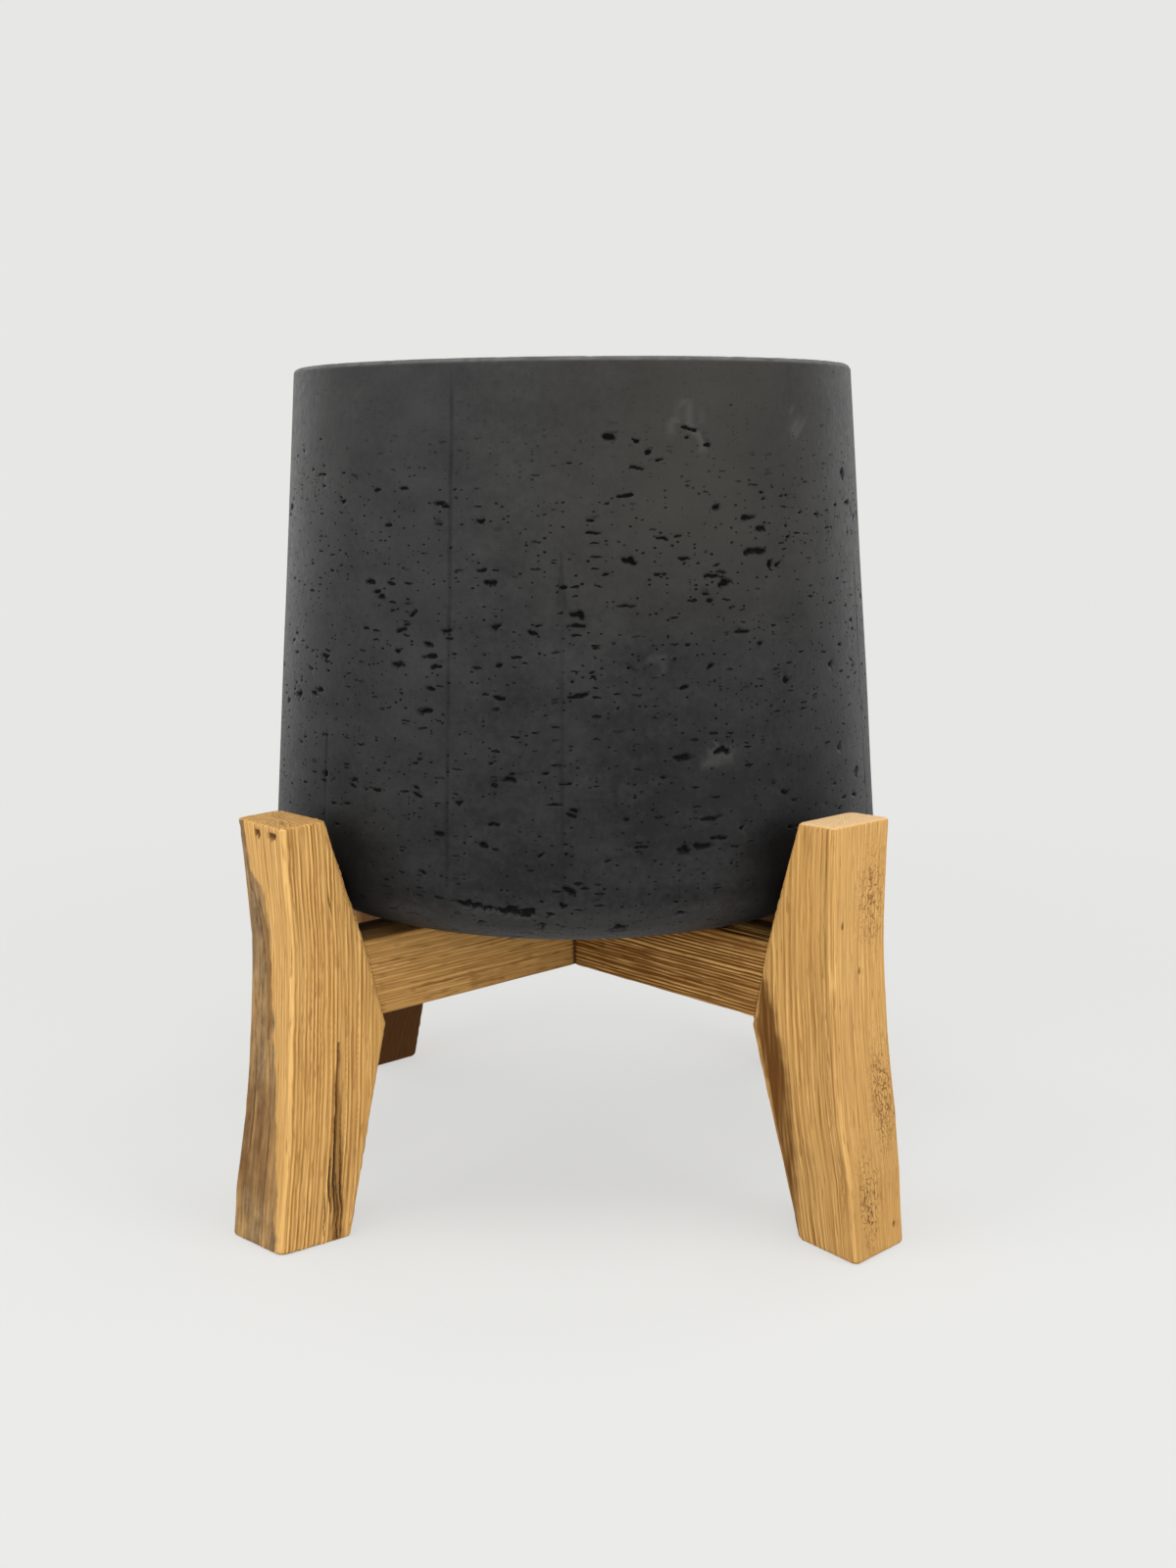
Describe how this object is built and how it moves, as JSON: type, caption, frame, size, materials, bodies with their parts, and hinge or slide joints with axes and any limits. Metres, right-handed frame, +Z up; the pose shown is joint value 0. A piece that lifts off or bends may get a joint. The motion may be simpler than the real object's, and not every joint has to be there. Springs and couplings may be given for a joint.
{
  "type": "planter with stand",
  "caption": "Tapered charcoal fibre-clay planter with a rounded heel, standing loose on a rustic wooden cross stand whose shaped legs rise beside the pot.",
  "frame": {"origin": "on the floor under the pot's axis", "axes": "+Z up; -Y is the front; the legs stand on the diagonals between X and Y"},
  "size_m": [0.3058, 0.3058, 0.3935],
  "materials": {
    "fibre_clay": "matte charcoal fibre clay with small pits",
    "rubber_bung": "matte black rubber",
    "rustic_wood": "wire-brushed honey softwood under a matte stain",
    "dowel_wood": "plain turned beech"
  },
  "bodies": {
    "stand": {"lower_crossbar": "rustic_wood", "upper_crossbar": "rustic_wood", "front_left_leg": "rustic_wood", "front_right_leg": "rustic_wood", "rear_left_leg": "rustic_wood", "rear_right_leg": "rustic_wood", "front_left_dowels": "dowel_wood", "front_right_dowels": "dowel_wood", "rear_left_dowels": "dowel_wood", "rear_right_dowels": "dowel_wood"},
    "pot": {"pot": "fibre_clay"},
    "drain_plug": {"drain_plug": "rubber_bung"}
  },
  "joints": [
    {"name": "pot_lift", "type": "slide", "parent": "stand", "child": "pot", "axis": [0, 0, 1], "range_m": [0, 0.08]},
    {"name": "plug_pull", "type": "slide", "parent": "pot", "child": "drain_plug", "axis": [0, 0, 1], "range_m": [0, 0.26]}
  ]
}
